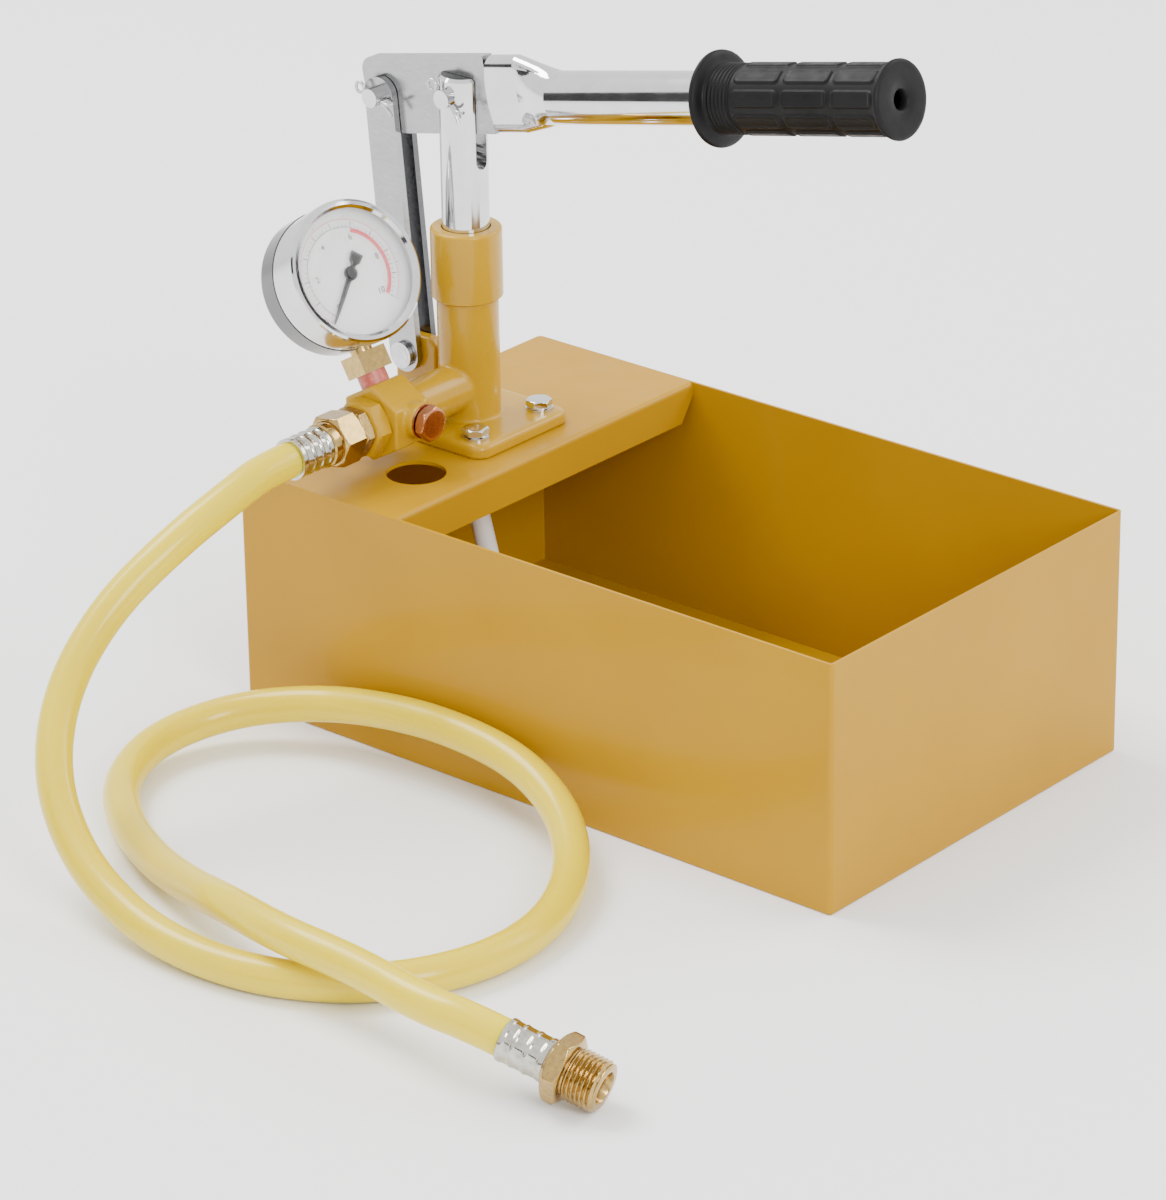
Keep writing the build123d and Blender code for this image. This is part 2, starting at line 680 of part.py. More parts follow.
with BuildPart() as handle_tube:
    with BuildSketch(lever_section(14)):
        with Locations((0, flat_v)):
            SlotOverall(flat_h, 2 * (plate_half + 1.7), rotation=90)
    extrude(amount=20)
    with BuildSketch(lever_section(34)):
        with Locations((0, flat_v)):
            SlotOverall(flat_h, 2 * (plate_half + 1.7), rotation=90)
    with BuildSketch(lever_section(54)):
        with Locations((0, tube_v)):
            Circle(tube_r)
    loft()
    with BuildSketch(lever_section(54)):
        with Locations((0, tube_v)):
            Circle(tube_r)
    extrude(amount=171)
    # inside
    with BuildSketch(lever_section(13)):
        with Locations((0, flat_v)):
            RectangleRounded(2 * plate_half, flat_h - 3.6, plate_half - 0.05)
    extrude(amount=21, mode=Mode.SUBTRACT)
    with BuildSketch(lever_section(34)):
        with Locations((0, flat_v)):
            RectangleRounded(2 * plate_half, flat_h - 3.6, plate_half - 0.05)
    with BuildSketch(lever_section(54)):
        with Locations((0, tube_v)):
            Circle(tube_r - tube_wall)
    loft(mode=Mode.SUBTRACT)
    with BuildSketch(lever_section(54)):
        with Locations((0, tube_v)):
            Circle(tube_r - tube_wall)
    extrude(amount=180, mode=Mode.SUBTRACT)
    # the flattened end is cut to a shallow arc
    with BuildSketch(lever_plane(20)):
        with BuildLine():
            ThreePointArc((21.8, -22), (17.3, flat_v), (21.8, 20.5))
            Polyline((21.8, 20.5), (8, 20.5), (8, -22), (21.8, -22))
        make_face()
    extrude(amount=40, mode=Mode.SUBTRACT)
save(handle_tube.part, "handle_tube")

with BuildPart() as handle_grip:
    with BuildSketch(lever_section(grip_u0)):
        with Locations((0, tube_v)):
            Circle(grip_r)
    extrude(amount=grip_u1 - grip_u0)
    with BuildSketch(lever_section(137.2)):
        with Locations((0, tube_v)):
            Circle(19.3)
    extrude(amount=3.2)
    with BuildSketch(lever_section(225.4)):
        with Locations((0, tube_v)):
            Circle(15.8)
    extrude(amount=grip_u1 - 225.4)
    fillet(handle_grip.faces().sort_by(Axis((0, 0, 0), (ca, 0, sa)))[-1].edges(), 1.2)
    with BuildSketch(lever_section(grip_u0 - 1)):
        with Locations((0, tube_v)):
            Circle(tube_r)
    extrude(amount=225 - grip_u0 + 1, mode=Mode.SUBTRACT)
    with BuildSketch(lever_section(224)):
        with Locations((0, tube_v)):
            Circle(4.0)
    extrude(amount=6, mode=Mode.SUBTRACT)
save(handle_grip.part, "handle_grip")

# ---- hose ------------------------------------------------------------------------------
hose_pts = [
    (-111.3, -110, 126.5), (-111.3, -126, 126.5), (-111.3, -142, 122.5), (-115.5, -173.5, 110.4), (-124, -203.5, 90),
    (-121, -233.5, 66.8), (-104.3, -258, 43.7), (-76, -273.3, 24), (-41, -280.6, 11.2),
    (-4.5, -283.6, 7.8), (33.5, -277.5, 7.6), (66.4, -256, 7.6), (85, -221, 7.6),
    (85, -182, 7.6), (69.3, -146, 11.5), (41.4, -119.3, 18.5), (6, -105, 25),
    (-33, -103.5, 28.2), (-70.5, -103.6, 25.2), (-106, -107.5, 19.2), (-134, -127.5, 14.5),
    (-144.8, -161.5, 10.5), (-132.5, -194, 7.8), (-105, -218.5, 7.6), (-71.5, -236.5, 8.6),
    (-39, -249.5, 13), (-5, -263, 21.5), (32, -272.5, 24.6), (70.3, -273.9, 25.2),
    (111, -280.8, 25.4), (132.1, -278.3, 24.2), (146.3, -275.2, 20.5),
]
radii = []
for a, b, c in zip(hose_pts, hose_pts[1:], hose_pts[2:]):
    p, q, r = Vector(*a), Vector(*b), Vector(*c)
    turn = radians((q - p).get_angle(r - q))
    radii.append(0.45 * min((q - p).length, (r - q).length) / tan(turn / 2))
print("hose bend radii", [round(v) for v in radii], "smallest", round(min(radii), 1))

with BuildPart() as hose:
    with BuildLine() as hose_line:
        FilletPolyline(*[Vector(*p) for p in hose_pts], radius=radii)
    hose_wire = hose_line.wire()
    with BuildSketch(Plane(origin=hose_wire @ 0, z_dir=hose_wire % 0)):
        Circle(hose_r)
    sweep(path=hose_wire)
print("hose length", round(hose_wire.length, 1), "volume", round(hose.part.volume), "section x length", round(pi * hose_r ** 2 * hose_wire.length))
save(hose.part, "hose")

# the free end slopes down from the crossing until its thread touches the floor
end_dir = (Vector(*hose_pts[-1]) - Vector(*hose_pts[-2])).normalized()
flat_dir = Vector(0.574, -0.658, 0.486)
flat_dir = (flat_dir - end_dir * flat_dir.dot(end_dir)).normalized()


def end_plane(d):
    """Square to the hose's free end, d beyond the end of the hose."""
    return Plane(origin=Vector(*hose_pts[-1]) + end_dir * d, x_dir=flat_dir, z_dir=end_dir)


with BuildPart() as far_ferrule:
    with BuildSketch(end_plane(0)):
        Circle(8.6)
    extrude(amount=19.5)
    with BuildSketch(end_plane(-1)):
        Circle(3.0)
    extrude(amount=25, mode=Mode.SUBTRACT)
save(far_ferrule.part, "far_ferrule")

with BuildPart() as hose_end_fitting:
    with BuildSketch(end_plane(19.5)):
        Circle(9.6)
    extrude(amount=1.8)
    with BuildSketch(end_plane(21.0)):
        RegularPolygon(radius=12.0, side_count=6, major_radius=False, rotation=30)
    extrude(amount=7.0)
    with BuildSketch(end_plane(28.0)):
        Circle(10.4775)
    extrude(amount=14.0)
    chamfer(hose_end_fitting.edges().sort_by(Axis((0, 0, 0), end_dir))[-1], 1.0)
    with BuildSketch(end_plane(19)):
        Circle(4.6)
    extrude(amount=30, mode=Mode.SUBTRACT)
save(hose_end_fitting.part, "hose_end_fitting")
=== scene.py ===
import json
import math

import bmesh
import bpy
import numpy as np
from mathutils import Matrix, Vector


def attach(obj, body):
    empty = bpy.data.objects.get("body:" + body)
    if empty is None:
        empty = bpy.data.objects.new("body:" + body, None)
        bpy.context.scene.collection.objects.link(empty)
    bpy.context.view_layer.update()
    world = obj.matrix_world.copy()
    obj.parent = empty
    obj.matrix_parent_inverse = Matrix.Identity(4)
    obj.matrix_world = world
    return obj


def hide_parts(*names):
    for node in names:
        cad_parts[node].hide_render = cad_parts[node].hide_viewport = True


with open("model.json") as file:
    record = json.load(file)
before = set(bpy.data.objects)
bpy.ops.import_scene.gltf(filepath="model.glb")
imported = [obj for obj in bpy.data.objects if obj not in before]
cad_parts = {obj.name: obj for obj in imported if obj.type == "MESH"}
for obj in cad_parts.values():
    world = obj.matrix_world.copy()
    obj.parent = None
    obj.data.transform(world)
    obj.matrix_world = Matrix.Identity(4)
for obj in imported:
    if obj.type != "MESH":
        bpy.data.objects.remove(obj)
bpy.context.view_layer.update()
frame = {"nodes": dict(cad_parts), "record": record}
nodes = frame["nodes"]
MM = 0.001
scene = bpy.context.scene

# ---------------------------------------------------------------- camera
cam_data = bpy.data.cameras.new("camera")
cam_data.sensor_fit = "AUTO"
cam_data.sensor_width = 36.0
cam_data.lens = 5421.47 * 36.0 / 1200.0
cam_data.clip_start, cam_data.clip_end = 0.05, 60.0
cam_data.dof.use_dof = False
cam = bpy.data.objects.new("camera", cam_data)
scene.collection.objects.link(cam)
back = Vector((0.5955, -0.6909, 0.4099)).normalized()
right = Vector((0.7614, 0.6481, -0.0136))
right = (right - back * right.dot(back)).normalized()
up = back.cross(right)
turn = Matrix((right, up, back)).transposed().to_4x4()
cam.matrix_world = Matrix.Translation((1.2973, -1.5638, 0.9708)) @ turn
scene.camera = cam

# ---------------------------------------------------------------- shared directions
PX, AXIS_Z = -111.3, 126.5
LEVER = math.radians(11.7)
LA = Vector((math.cos(LEVER), 0, math.sin(LEVER)))
LV = Vector((-math.sin(LEVER), 0, math.cos(LEVER)))
ROD_PIN = Vector((PX, 0, 253.5))
STEM = Vector((-0.5, 0, 0.8660254))
FACE = Vector((0.845, -0.185, 0.502))
FACE = (FACE - STEM * FACE.dot(STEM)).normalized()
SIDE = STEM.cross(FACE)
GAUGE = Vector((PX, -49.8, AXIS_Z)) + STEM * 59.8
SHIFT = 2.2
LINK_TOP = Vector((PX - 42.1 * math.cos(LEVER), 0, 253.5 - 42.1 * math.sin(LEVER)))

HOSE = [
    (-111.3, -110, 126.5), (-111.3, -126, 126.5), (-111.3, -142, 122.5), (-115.5, -173.5, 110.4),
    (-124, -203.5, 90), (-121, -233.5, 66.8), (-104.3, -258, 43.7), (-76, -273.3, 24),
    (-41, -280.6, 11.2), (-4.5, -283.6, 7.8), (33.5, -277.5, 7.6), (66.4, -256, 7.6),
    (85, -221, 7.6), (85, -182, 7.6), (69.3, -146, 11.5), (41.4, -119.3, 18.5),
    (6, -105, 25), (-33, -103.5, 28.2), (-70.5, -103.6, 25.2), (-106, -107.5, 19.2),
    (-134, -127.5, 14.5), (-144.8, -161.5, 10.5), (-132.5, -194, 7.8), (-105, -218.5, 7.6),
    (-71.5, -236.5, 8.6), (-39, -249.5, 13), (-5, -263, 21.5), (32, -272.5, 24.6),
    (70.3, -273.9, 25.2), (111, -280.8, 25.4), (132.1, -278.3, 24.2), (146.3, -275.2, 20.5),
]
END_DIR = (Vector(HOSE[-1]) - Vector(HOSE[-2])).normalized()
FLAT_DIR = Vector((0.574, -0.658, 0.486))
FLAT_DIR = (FLAT_DIR - END_DIR * FLAT_DIR.dot(END_DIR)).normalized()


# ---------------------------------------------------------------- material helpers
def new_mat(name):
    m = bpy.data.materials.new(name)
    m.use_nodes = True
    nt = m.node_tree
    bsdf = nt.nodes["Principled BSDF"]
    return m, nt, bsdf


def coords(nt, scale=(1, 1, 1)):
    tc = nt.nodes.new("ShaderNodeTexCoord")
    mp = nt.nodes.new("ShaderNodeMapping")
    mp.inputs["Scale"].default_value = scale
    nt.links.new(tc.outputs["Object"], mp.inputs["Vector"])
    return mp.outputs["Vector"]


def noise(nt, vec, scale, detail=3.0, rough=0.5):
    n = nt.nodes.new("ShaderNodeTexNoise")
    n.inputs["Scale"].default_value = scale
    n.inputs["Detail"].default_value = detail
    n.inputs["Roughness"].default_value = rough
    nt.links.new(vec, n.inputs["Vector"])
    return n.outputs["Fac"]


def remap(nt, fac, lo, hi, a=0.3, b=0.7):
    r = nt.nodes.new("ShaderNodeMapRange")
    r.inputs["From Min"].default_value = a
    r.inputs["From Max"].default_value = b
    r.inputs["To Min"].default_value = lo
    r.inputs["To Max"].default_value = hi
    nt.links.new(fac, r.inputs["Value"])
    return r.outputs["Result"]


def mixed(nt, fac, c1, c2, a=0.3, b=0.7):
    ramp = nt.nodes.new("ShaderNodeValToRGB")
    ramp.color_ramp.elements[0].position = a
    ramp.color_ramp.elements[1].position = b
    ramp.color_ramp.elements[0].color = (*c1, 1)
    ramp.color_ramp.elements[1].color = (*c2, 1)
    nt.links.new(fac, ramp.inputs["Fac"])
    return ramp.outputs["Color"]


def bump(nt, fac, strength, distance):
    b = nt.nodes.new("ShaderNodeBump")
    b.inputs["Strength"].default_value = strength
    b.inputs["Distance"].default_value = distance
    nt.links.new(fac, b.inputs["Height"])
    return b.outputs["Normal"]


def paint(name, dark, light, rough=0.3, coat=1.0, coat_rough=0.06, peel=0.10, scale=14.0, peel_scale=900.0, spec=0.5):
    m, nt, b = new_mat(name)
    v = coords(nt)
    nt.links.new(mixed(nt, noise(nt, v, scale), dark, light), b.inputs["Base Color"])
    nt.links.new(remap(nt, noise(nt, v, 60.0), rough * 0.85, rough * 1.2), b.inputs["Roughness"])
    b.inputs["Coat Weight"].default_value = coat
    b.inputs["Coat Roughness"].default_value = coat_rough
    b.inputs["IOR"].default_value = 1.5
    b.inputs["Specular IOR Level"].default_value = spec
    nt.links.new(bump(nt, noise(nt, v, peel_scale, 2.0), peel, 0.0002), b.inputs["Normal"])
    return m


def metal(name, dark, light, rough, brush=(1, 1, 1), brush_scale=400.0, depth=0.05, aniso=0.0, spread=0.25):
    m, nt, b = new_mat(name)
    v = coords(nt, brush)
    grain = noise(nt, v, brush_scale, 4.0, 0.6)
    nt.links.new(mixed(nt, grain, dark, light), b.inputs["Base Color"])
    nt.links.new(remap(nt, noise(nt, coords(nt), 90.0), rough * (1 - spread), rough * (1 + spread)), b.inputs["Roughness"])
    b.inputs["Metallic"].default_value = 1.0
    b.inputs["Anisotropic"].default_value = aniso
    nt.links.new(bump(nt, grain, depth, 0.0001), b.inputs["Normal"])
    return m


MAT = {
    "tank_paint": paint("tank_enamel", (0.39, 0.20, 0.0), (0.42, 0.22, 0.0), 0.36, 0.10, 0.06, 0.05, spec=0.14),
    "pump_paint": paint("pump_enamel", (0.44, 0.24, 0.0), (0.48, 0.265, 0.0), 0.28, 0.30, 0.05, 0.22, 30.0, 420.0, spec=0.2),
    "zinc_steel": metal("zinc_plate", (0.34, 0.34, 0.345), (0.40, 0.40, 0.405), 0.24, (1, 1, 6), 260.0, 0.06),
    "chrome": metal("chrome_plate", (0.62, 0.62, 0.625), (0.68, 0.68, 0.685), 0.09, (1, 1, 1), 120.0, 0.01),
    "steel": metal("plain_steel", (0.50, 0.50, 0.52), (0.64, 0.64, 0.66), 0.28),
    "brass": metal("brass_metal", (0.36, 0.235, 0.075), (0.50, 0.34, 0.12), 0.20, (1, 1, 1), 500.0, 0.08),
    "copper": metal("copper_metal", (0.50, 0.20, 0.09), (0.60, 0.26, 0.13), 0.24, (1, 1, 1), 500.0, 0.08),
    "crimp_steel": metal("crimp_plate", (0.42, 0.40, 0.33), (0.60, 0.58, 0.52), 0.16, (1, 1, 1), 350.0, 0.10),
    "black_case": paint("black_enamel", (0.012, 0.012, 0.014), (0.02, 0.02, 0.022), 0.25, 1.0, 0.05, 0.05),
    "dial_white": paint("dial_enamel", (0.84, 0.84, 0.84), (0.88, 0.88, 0.88), 0.5, 0.3, 0.2, 0.02),
    "pointer_black": paint("pointer_enamel", (0.012, 0.012, 0.012), (0.02, 0.02, 0.02), 0.4, 0.4, 0.2, 0.02),
    "tape_red": paint("thread_tape", (0.42, 0.05, 0.03), (0.62, 0.16, 0.10), 0.45, 0.3, 0.3, 0.6, 500.0),
    "pipe_white": paint("pipe_plastic", (0.80, 0.80, 0.79), (0.86, 0.86, 0.85), 0.35, 0.3, 0.15, 0.05),
    "packing": paint("packing_rubber", (0.03, 0.03, 0.03), (0.05, 0.05, 0.05), 0.6, 0.0, 0.3, 0.2),
}


def hose_mat():
    m, nt, b = new_mat("hose_plastic")
    v = coords(nt)
    nt.links.new(mixed(nt, noise(nt, v, 9.0, 2.0), (0.66, 0.50, 0.0), (0.74, 0.58, 0.0)), b.inputs["Base Color"])
    b.inputs["Roughness"].default_value = 0.28
    b.inputs["Subsurface Weight"].default_value = 0.75
    b.inputs["Subsurface Radius"].default_value = (1.0, 0.8, 0.12)
    b.inputs["Subsurface Scale"].default_value = 0.006
    b.inputs["Coat Weight"].default_value = 0.2
    b.inputs["Coat Roughness"].default_value = 0.12
    b.inputs["Specular IOR Level"].default_value = 0.3
    nt.links.new(bump(nt, noise(nt, v, 500.0, 2.0), 0.05, 0.0002), b.inputs["Normal"])
    return m


def rubber_mat():
    m, nt, b = new_mat("grip_rubber_black")
    v = coords(nt)
    nt.links.new(mixed(nt, noise(nt, v, 40.0), (0.003, 0.003, 0.0032), (0.006, 0.006, 0.0064)), b.inputs["Base Color"])
    nt.links.new(remap(nt, noise(nt, v, 200.0), 0.40, 0.56), b.inputs["Roughness"])
    b.inputs["Specular IOR Level"].default_value = 0.16
    nt.links.new(bump(nt, noise(nt, v, 1800.0, 3.0), 0.25, 0.0002), b.inputs["Normal"])
    return m


def glass_mat():
    m, nt, b = new_mat("window_glass")
    v = coords(nt)
    b.inputs["Base Color"].default_value = (1, 1, 1, 1)
    nt.links.new(remap(nt, noise(nt, v, 60.0), 0.01, 0.03), b.inputs["Roughness"])
    b.inputs["Transmission Weight"].default_value = 1.0
    b.inputs["IOR"].default_value = 1.45
    b.inputs["Alpha"].default_value = 0.12
    return m


MAT["hose_yellow"] = hose_mat()
MAT["grip_rubber"] = rubber_mat()
MAT["glass"] = glass_mat()
INK_BLACK = paint("ink_black", (0.02, 0.02, 0.02), (0.035, 0.035, 0.035), 0.5, 0.0, 0.2, 0.0)
INK_RED = paint("ink_red", (0.72, 0.03, 0.05), (0.78, 0.05, 0.07), 0.5, 0.0, 0.2, 0.0)

# Darker copy of the zinc-plated link steel for the rear link bar: painted shade for the shadow on its face behind the
# front bar.
REAR_LINK_SHADED_STEEL = metal("rear_link_steel_painted_shade", (0.10, 0.10, 0.105), (0.14, 0.14, 0.145), 0.16, (1, 1, 6), 260.0, 0.04)

slots_of = {s["node"]: s["material_slot"] for s in frame["record"]["subparts"]}
for name, o in nodes.items():
    # The rear link gets the painted-shade copy of the zinc steel; every other part keeps its slot material.
    mat = REAR_LINK_SHADED_STEEL if name == "rear_link" else MAT[slots_of[name]]
    if not o.material_slots:
        o.data.materials.append(mat)
    for s in o.material_slots:
        s.material = mat


# ---------------------------------------------------------------- mesh helpers
def finish_mesh(name, verts, faces, mat, body, stands_for=(), slot=None, sharp=38.0, bevel=0.0):
    me = bpy.data.meshes.new(name)
    me.from_pydata([tuple(Vector(v) * MM) for v in verts], [], faces)
    me.update()
    bm = bmesh.new()
    bm.from_mesh(me)
    bmesh.ops.remove_doubles(bm, verts=bm.verts, dist=1e-7)
    bmesh.ops.recalc_face_normals(bm, faces=bm.faces)
    lim = math.radians(sharp)
    for f in bm.faces:
        f.smooth = True
    for e in bm.edges:
        if len(e.link_faces) == 2 and e.calc_face_angle(0.0) > lim:
            e.smooth = False
    bm.to_mesh(me)
    bm.free()
    me.materials.append(mat)
    o = bpy.data.objects.new(name, me)
    scene.collection.objects.link(o)
    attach(o, body)
    if stands_for:
        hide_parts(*stands_for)
    return o


def turned(name, origin, axis, xdir, rows, mat, body, nphi=96, closed=False, **kw):
    """A surface round an axis. rows are (distance along, radius or radii by angle) in mm."""
    axis = Vector(axis).normalized()
    xdir = (Vector(xdir) - axis * Vector(xdir).dot(axis)).normalized()
    ydir = axis.cross(xdir)
    origin = Vector(origin)
    ph = np.linspace(0, 2 * np.pi, nphi, endpoint=False)
    verts, starts = [], []
    for u, r in rows:
        r = r(ph) if callable(r) else r
        single = np.isscalar(r) and r == 0
        starts.append((len(verts), single))
        c = origin + axis * u
        if single:
            verts.append(c)
            continue
        r = np.broadcast_to(r, ph.shape)
        verts += [c + (xdir * math.cos(a) + ydir * math.sin(a)) * float(q) for a, q in zip(ph, r)]
    faces = []
    order = list(range(len(rows))) + ([0] if closed else [])
    for i, j in zip(order, order[1:]):
        (a, sa), (b, sb) = starts[i], starts[j]
        for k in range(nphi):
            n = (k + 1) % nphi
            if sa and sb:
                continue
            if sa:
                faces.append((a, b + k, b + n))
            elif sb:
                faces.append((a + k, a + n, b))
            else:
                faces.append((a + k, a + n, b + n, b + k))
    return finish_mesh(name, verts, faces, mat, body, **kw)


def hex_r(af, rot=0.0):
    def f(ph):
        a = np.mod(ph - math.radians(rot), math.pi / 3) - math.pi / 6
        return af / 2 / np.cos(a)
    return f


def hex_rows(af, u0, u1, rot=0.0, both=True, lead=0.965):
    """Hexagon with the turned 30 degree corner chamfers of a nut."""
    h = hex_r(af, rot)
    rows = []
    for d in (0, 0.15, 0.35, 0.6, 0.9, 1.2, 1.6):
        rows.append((u0 + d, (lambda ph, d=d: np.minimum(h(ph), af / 2 * lead + d * 1.73)) if True else h))
    for d in (1.6, 1.2, 0.9, 0.6, 0.35, 0.15, 0):
        rows.append((u1 - d, (lambda ph, d=d: np.minimum(h(ph), af / 2 * lead + d * 1.73)) if both else h))
    return rows


def curve(name, pts, radius, mat, body, cyclic=False, stands_for=()):
    c = bpy.data.curves.new(name, "CURVE")
    c.dimensions = "3D"
    c.bevel_depth = radius * MM
    c.bevel_resolution = 4
    c.resolution_u = 8
    c.use_fill_caps = True
    s = c.splines.new("BEZIER")
    s.bezier_points.add(len(pts) - 1)
    for bp, p in zip(s.bezier_points, pts):
        bp.co = Vector(p) * MM
        bp.handle_left_type = bp.handle_right_type = "AUTO"
    s.use_cyclic_u = cyclic
    c.materials.append(mat)
    o = bpy.data.objects.new(name, c)
    scene.collection.objects.link(o)
    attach(o, body)
    if stands_for:
        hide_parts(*stands_for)
    return o


def flat_marks(name, polys, mat, height):
    """Flat printed shapes on the dial; polys are lists of (x, y) in the dial's plane."""
    verts, faces = [], []
    base = GAUGE + FACE * (SHIFT + height)
    for p in polys:
        n = len(verts)
        verts += [base + SIDE * x + STEM * y for x, y in p]
        faces.append(tuple(range(n, n + len(p))))
    return finish_mesh(name, verts, faces, mat, "root")


# ---------------------------------------------------------------- hose
hose_c = bpy.data.curves.new("hose_tube", "CURVE")
hose_c.dimensions = "3D"
hose_c.bevel_depth = 7.5 * MM
hose_c.bevel_resolution = 12
hose_c.use_fill_caps = True
spl = hose_c.splines.new("NURBS")
spl.points.add(len(HOSE) - 1)
for p, co in zip(spl.points, HOSE):
    p.co = (co[0] * MM, co[1] * MM, co[2] * MM, 1.0)
spl.order_u = 3
spl.use_endpoint_u = True
spl.resolution_u = 16
hose_c.materials.append(MAT["hose_yellow"])
hose = bpy.data.objects.new("hose_tube", hose_c)
scene.collection.objects.link(hose)
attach(hose, "root")
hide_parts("hose")


def crimp_rows(u0, u1, r, bands, tail=()):
    """Crimped sleeve: plain lip, waisted bands and eight shallow flats."""
    rows = []
    span = u1 - u0
    for k in range(int(span / 0.35) + 1):
        t = min(1.0, k * 0.35 / span)
        w = 0.0
        for c, half in bands:
            x = abs(t - c) / half
            if x < 1:
                w = max(w, (1 - x ** 4))
        edge = min(1.0, min(t, 1 - t) * span / 0.5)

        def f(ph, w=w, edge=edge):
            flats = 0.5 * (1 - np.cos(8 * ph)) * 0.32
            return r - w * (0.35 + flats) - (1 - math.sqrt(max(0.0, 1 - (1 - edge) ** 2))) * 0.5
        rows.append((u0 + t * span, f))
    return rows


out_o = Vector((PX, 0, AXIS_Z))
rows = [(84.3, 5.0), (84.3, 7.2), (86.9, 7.2), (86.9, 5.04), (91.9, 5.04)]
rows += crimp_rows(91.9, 110.0, 8.75, [(0.22, 0.10), (0.48, 0.11), (0.75, 0.12)])
rows += [(110.0, 6.0), (84.3, 2.6)]
near = turned("near_ferrule_sleeve", out_o, (0, -1, 0), (1, 0, 0), rows, MAT["crimp_steel"], "root", 128, True, stands_for=("near_ferrule",), slot="crimp_steel")

end_o = Vector(HOSE[-1])
rows = [(0.0, 6.0)] + crimp_rows(0.0, 19.5, 8.6, [(0.2, 0.1), (0.46, 0.13), (0.76, 0.13)]) + [(19.5, 3.0)]
far = turned("far_ferrule_sleeve", end_o, END_DIR, FLAT_DIR, rows, MAT["crimp_steel"], "root", 128, True, stands_for=("far_ferrule",), slot="crimp_steel")

rows = [(19.5, 4.6), (19.5, 9.0), (19.8, 9.5), (20.9, 9.6), (21.1, 9.3)]
rows += hex_rows(24.0, 21.1, 28.0, 30.0)
rows += [(28.0, 9.3), (28.5, 9.2)]
THREAD_N = 96
for k in range(0, THREAD_N + 1):
    u = 28.5 + k * (13.1 / THREAD_N)

    def thr(ph, u=u, k=k):
        t = np.mod((u - 28.5) / 1.814 - ph / (2 * np.pi), 1.0)
        tri = np.abs(2 * t - 1)
        run = min(1.0, k / 9.0)
        lead = max(0.0, (u - 40.3)) * 0.8
        return 10.4775 - (u - 28.5) * 0.012 - 1.15 * tri * run - (1 - run) * 1.1 - lead * (1 - tri) * 0.7
    rows.append((u, thr))
rows += [(41.7, 9.2), (42.0, 8.7), (42.0, 6.6), (41.4, 6.1), (34.0, 6.0), (33.0, 4.6)]
endfit = turned("hose_end_thread", end_o, END_DIR, FLAT_DIR, rows, MAT["brass"], "root", 120, True, stands_for=("hose_end_fitting",), slot="brass", sharp=50)

# ---------------------------------------------------------------- brass outlet pieces
rows = [(69.0, 2.6)] + hex_rows(19.0, 69.0, 75.0, 0.0) + [(75.0, 7.6), (84.0, 7.6), (84.0, 2.6)]
turned("nipple_hex", out_o, (0, -1, 0), (1, 0, 0), rows, MAT["brass"], "root", 120, True, stands_for=("hose_nipple",), slot="brass")
rows = [(75.1, 7.7)] + hex_rows(20.6, 75.1, 87.0, 9.0) + [(87.0, 9.3), (87.6, 9.4), (91.2, 9.3), (91.8, 8.6), (91.8, 5.1), (87.0, 5.1), (87.0, 7.7)]
turned("swivel_nut_hex", out_o, (0, -1, 0), (1, 0, 0), rows, MAT["brass"], "swivel_nut", 120, True, stands_for=("swivel_nut",), slot="brass")
rows = [(56.6, 2.6), (56.6, 7.0), (61.0, 7.0)] + hex_rows(22.0, 61.0, 69.0, 0.0) + [(69.0, 2.6)]
turned("outlet_hex", out_o, (0, -1, 0), (1, 0, 0), rows, MAT["pump_paint"], "root", 120, True, stands_for=("outlet_adapter",), slot="pump_paint")

# copper plug with a sealing washer behind it
plug_o = Vector((0, -49.7, 129.0))
rows = [(-104.4, 0), (-104.4, 3.94), (-91.0, 3.94)] + hex_rows(13.4, -91.0, -86.4, 0.0) + [(-86.25, 5.6), (-86.2, 0)]
turned("plug_hex", plug_o, (1, 0, 0), (0, 1, 0.25), rows, MAT["copper"], "plug", 120, stands_for=("copper_plug",), slot="copper")

# foot bolts: hex heads with a low dome
bolt_parts_v, bolt_parts_f = [], []
bolt_objs = []
for i, (bx, by) in enumerate([(x, y) for x in (-132.1, -90.5) for y in (-20.0, 20.0)]):
    rows = [(97.5, 0), (97.5, 2.5), (98.2, 3.0), (114.0, 3.0)] + hex_rows(9.8, 114.0, 117.3, 21.0 + 9 * i) + [(117.5, 3.6), (117.6, 0)]
    bolt_objs.append(turned(f"foot_bolt_{i + 1}", (bx, by, 0), (0, 0, 1), (1, 0, 0), rows, MAT["chrome"], "root", 120, stands_for=("foot_bolts",), slot="chrome"))

# ---------------------------------------------------------------- castings with soft corners
src = nodes["pump_body"]
cast = bpy.data.objects.new("pump_casting", src.data.copy())
scene.collection.objects.link(cast)
cast.matrix_world = src.matrix_world.copy()
rm = cast.modifiers.new("remesh", "REMESH")
rm.mode = "VOXEL"
rm.voxel_size = 0.00062
rm.use_smooth_shade = True
sm = cast.modifiers.new("soften", "CORRECTIVE_SMOOTH") if False else cast.modifiers.new("soften", "SMOOTH")
sm.factor = 0.5
sm.iterations = 7
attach(cast, "root")
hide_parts("pump_body")
for s in cast.material_slots:
    s.material = MAT["pump_paint"]

# ---------------------------------------------------------------- grip
face_cam = Vector((0.5955, -0.6909, 0.4099))
PADS = ((154.6, 177.6), (179.6, 202.6), (204.4, 225.2))


def smooth(x):
    x = np.clip(x, 0, 1)
    return x * x * (3 - 2 * x)


